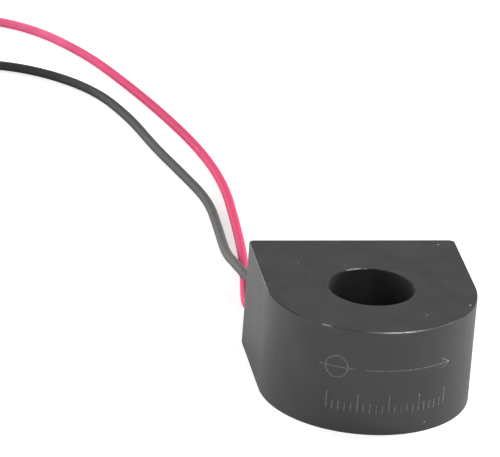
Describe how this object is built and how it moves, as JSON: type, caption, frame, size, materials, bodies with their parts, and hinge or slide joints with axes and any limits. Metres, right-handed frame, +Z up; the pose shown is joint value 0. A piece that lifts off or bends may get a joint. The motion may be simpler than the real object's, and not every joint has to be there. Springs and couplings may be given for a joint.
{
  "type": "current transformer",
  "caption": "Potted current transformer in a D-shaped plastic housing with a through bore for the measured wire and a red and a black flying lead.",
  "frame": {"origin": "on the axis of the through bore, in the plane of the open underside that the housing rests on", "axes": "+Z up along the bore, +Y towards the flat back where the leads come out, +X to the right seen from the round front"},
  "size_m": [0.072, 0.1427, 0.0142],
  "materials": {
    "housing_plastic": "moulded dark grey polyester, satin with a fine grain",
    "epoxy_resin": "poured black epoxy resin, glossy",
    "core_ribbon": "wound magnetic ribbon, dull metallic",
    "case_nylon": "moulded natural nylon",
    "pad_rubber": "soft silicone rubber",
    "enamelled_copper": "fine enamelled copper wire, glossy",
    "polyester_tape": "thin polyester tape",
    "red_insulation": "extruded PVC insulation, satin",
    "black_insulation": "extruded PVC insulation, satin",
    "tinned_copper": "twisted tinned copper strands",
    "solder": "solder, smooth",
    "joint_sleeving": "plain polyolefin sleeving, lined with glue"
  },
  "bodies": {
    "root": {"housing": "housing_plastic", "potting": "epoxy_resin", "magnetic_core": "core_ribbon", "core_case_base": "case_nylon", "core_case_lid": "case_nylon", "core_pad": "pad_rubber", "secondary_winding": "enamelled_copper", "winding_tape": "polyester_tape", "red_lead_root": "red_insulation", "black_lead_root": "black_insulation", "red_inner_strands": "tinned_copper", "black_inner_strands": "tinned_copper", "red_solder_joint": "solder", "black_solder_joint": "solder", "red_joint_sleeve": "joint_sleeving", "black_joint_sleeve": "joint_sleeving", "red_lead": "red_insulation", "black_lead": "black_insulation", "red_tinned_end": "tinned_copper", "black_tinned_end": "tinned_copper"}
  },
  "joints": []
}
